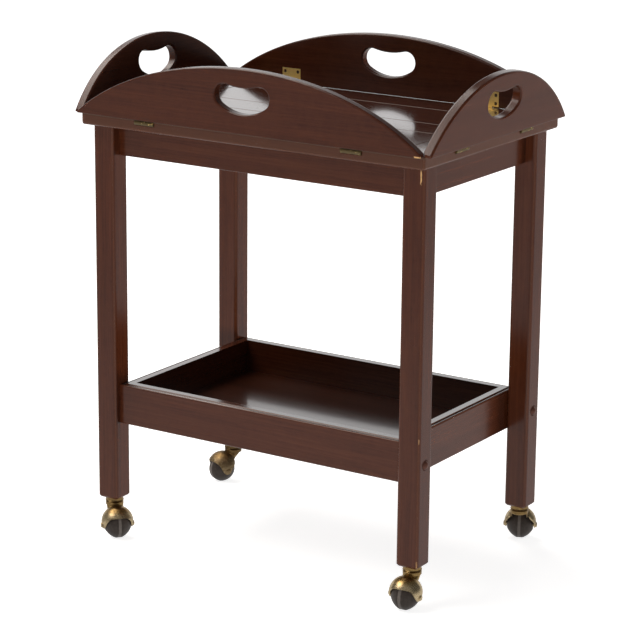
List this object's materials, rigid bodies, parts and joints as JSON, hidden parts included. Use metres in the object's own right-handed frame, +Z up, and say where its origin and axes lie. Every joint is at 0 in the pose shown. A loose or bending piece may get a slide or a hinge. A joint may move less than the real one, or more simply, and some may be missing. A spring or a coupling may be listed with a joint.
{
  "type": "tea trolley",
  "caption": "Butler's-tray tea trolley: lift-off tray with fold-down flaps and hand holes, square legs, a walled lower shelf and swivelling hooded ball casters.",
  "frame": {"origin": "on the floor under the middle of the trolley", "axes": "+X along the long side to the right, +Y from the front to the back, +Z up"},
  "size_m": [0.6557, 0.428, 0.7867],
  "materials": {
    "mahogany": "dark stain, gloss lacquer",
    "plain_wood": "planed, unfinished",
    "brass": "aged, lacquered",
    "steel": "plain",
    "bronzed_steel": "bronzed",
    "ball": "hard, satin, worn tread"
  },
  "bodies": {
    "base": {"leg_front_left": "mahogany", "leg_front_right": "mahogany", "leg_back_left": "mahogany", "leg_back_right": "mahogany", "apron_front": "mahogany", "apron_right": "mahogany", "apron_back": "mahogany", "apron_left": "mahogany", "apron_dowels": "plain_wood", "corner_blocks": "plain_wood", "shelf_wall_front": "mahogany", "shelf_wall_right": "mahogany", "shelf_wall_back": "mahogany", "shelf_wall_left": "mahogany", "shelf_floor": "mahogany", "shelf_battens": "plain_wood", "shelf_bolts": "bronzed_steel", "shelf_bolt_inserts": "steel", "caster_sockets": "brass"},
    "tray": {"tray_board": "mahogany", "tray_cleats": "plain_wood", "tray_cleat_screws": "steel", "tray_hinge_leaves_front": "brass", "tray_hinge_leaves_right": "brass", "tray_hinge_leaves_back": "brass", "tray_hinge_leaves_left": "brass", "hinge_pins": "steel", "tray_hinge_screws": "brass"},
    "flap_front": {"flap_front": "mahogany", "flap_hinge_leaves_front": "brass", "flap_hinge_screws_front": "brass"},
    "flap_right": {"flap_right": "mahogany", "flap_hinge_leaves_right": "brass", "flap_hinge_screws_right": "brass"},
    "flap_back": {"flap_back": "mahogany", "flap_hinge_leaves_back": "brass", "flap_hinge_screws_back": "brass"},
    "flap_left": {"flap_left": "mahogany", "flap_hinge_leaves_left": "brass", "flap_hinge_screws_left": "brass"},
    "caster_front_left": {"caster_stem_front_left": "steel", "caster_hood_front_left": "brass", "caster_axle_front_left": "steel"},
    "ball_front_left": {"caster_ball_front_left": "ball"},
    "caster_front_right": {"caster_stem_front_right": "steel", "caster_hood_front_right": "brass", "caster_axle_front_right": "steel"},
    "ball_front_right": {"caster_ball_front_right": "ball"},
    "caster_back_left": {"caster_stem_back_left": "steel", "caster_hood_back_left": "brass", "caster_axle_back_left": "steel"},
    "ball_back_left": {"caster_ball_back_left": "ball"},
    "caster_back_right": {"caster_stem_back_right": "steel", "caster_hood_back_right": "brass", "caster_axle_back_right": "steel"},
    "ball_back_right": {"caster_ball_back_right": "ball"}
  },
  "joints": [
    {"name": "tray_lift", "type": "slide", "parent": "base", "child": "tray", "axis": [0, 0, 1], "range_m": [0, 0.05]},
    {"name": "flap_front_fold", "type": "hinge", "parent": "tray", "child": "flap_front", "pos_m": [0, -0.203, 0.684], "axis": [1, 0, 0], "range_deg": [0, 90]},
    {"name": "flap_right_fold", "type": "hinge", "parent": "tray", "child": "flap_right", "pos_m": [0.3065, 0, 0.684], "axis": [0, 1, 0], "range_deg": [0, 85]},
    {"name": "flap_back_fold", "type": "hinge", "parent": "tray", "child": "flap_back", "pos_m": [0, 0.203, 0.684], "axis": [-1, 0, 0], "range_deg": [0, 90]},
    {"name": "flap_left_fold", "type": "hinge", "parent": "tray", "child": "flap_left", "pos_m": [-0.3065, 0, 0.684], "axis": [0, -1, 0], "range_deg": [0, 83]},
    {"name": "caster_front_left_swivel", "type": "hinge", "parent": "base", "child": "caster_front_left", "pos_m": [-0.27875, -0.16625, 0.0555], "axis": [0, 0, 1], "continuous": true},
    {"name": "ball_front_left_roll", "type": "hinge", "parent": "caster_front_left", "child": "ball_front_left", "pos_m": [-0.26215, -0.18068, 0.022], "axis": [0.6561, 0.7547, 0], "continuous": true},
    {"name": "caster_front_right_swivel", "type": "hinge", "parent": "base", "child": "caster_front_right", "pos_m": [0.27875, -0.16625, 0.0555], "axis": [0, 0, 1], "continuous": true},
    {"name": "ball_front_right_roll", "type": "hinge", "parent": "caster_front_right", "child": "ball_front_right", "pos_m": [0.28067, -0.18817, 0.022], "axis": [0.9962, 0.0872, 0], "continuous": true},
    {"name": "caster_back_left_swivel", "type": "hinge", "parent": "base", "child": "caster_back_left", "pos_m": [-0.27875, 0.16625, 0.0555], "axis": [0, 0, 1], "continuous": true},
    {"name": "ball_back_left_roll", "type": "hinge", "parent": "caster_back_left", "child": "ball_back_left", "pos_m": [-0.28839, 0.14648, 0.022], "axis": [0.8988, -0.4384, 0], "continuous": true},
    {"name": "caster_back_right_swivel", "type": "hinge", "parent": "base", "child": "caster_back_right", "pos_m": [0.27875, 0.16625, 0.0555], "axis": [0, 0, 1], "continuous": true},
    {"name": "ball_back_right_roll", "type": "hinge", "parent": "caster_back_right", "child": "ball_back_right", "pos_m": [0.27015, 0.1865, 0.022], "axis": [-0.9205, -0.3907, 0], "continuous": true}
  ]
}
